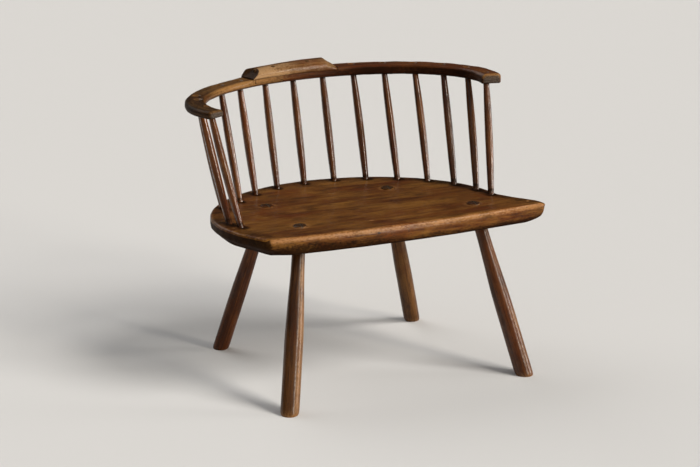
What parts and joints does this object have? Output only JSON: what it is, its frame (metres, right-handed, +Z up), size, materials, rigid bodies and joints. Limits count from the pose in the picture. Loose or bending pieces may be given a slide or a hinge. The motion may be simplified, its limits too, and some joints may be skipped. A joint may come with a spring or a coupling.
{
  "type": "stick armchair",
  "caption": "Low-backed stick armchair with a half-round plank seat on splayed legs and a bowed arm carried by a ring of slender sticks",
  "frame": {"origin": "floor point under the middle of the chair's box", "axes": "+X towards the viewer's right when facing the chair, +Y towards the back of the chair, +Z up"},
  "size_m": [0.7396, 0.5562, 0.6265],
  "materials": {
    "seat_wood": "old waxed plank, polished by use, roughness about 0.45",
    "leg_wood": "shaved round, dark and worn, roughness about 0.5",
    "stick_wood": "shaved round, dark and rubbed, roughness about 0.45",
    "arm_wood": "sawn and rounded over, worn and rubbed, roughness about 0.5",
    "peg_wood": "end grain, dark, roughness about 0.6"
  },
  "bodies": {
    "root": {"arm_left": "arm_wood", "arm_right": "arm_wood", "arm_riser": "arm_wood", "leg_front_left": "leg_wood", "leg_front_right": "leg_wood", "leg_rear_left": "leg_wood", "leg_rear_right": "leg_wood", "riser_peg_1": "peg_wood", "riser_peg_2": "peg_wood", "riser_peg_3": "peg_wood", "seat": "seat_wood", "stick_01": "stick_wood", "stick_02": "stick_wood", "stick_03": "stick_wood", "stick_04": "stick_wood", "stick_05": "stick_wood", "stick_06": "stick_wood", "stick_07": "stick_wood", "stick_08": "stick_wood", "stick_09": "stick_wood", "stick_10": "stick_wood", "stick_11": "stick_wood", "stick_12": "stick_wood", "stick_13": "stick_wood", "stick_14": "stick_wood", "wedge_front_left": "peg_wood", "wedge_front_right": "peg_wood", "wedge_rear_left": "peg_wood", "wedge_rear_right": "peg_wood"}
  },
  "joints": []
}
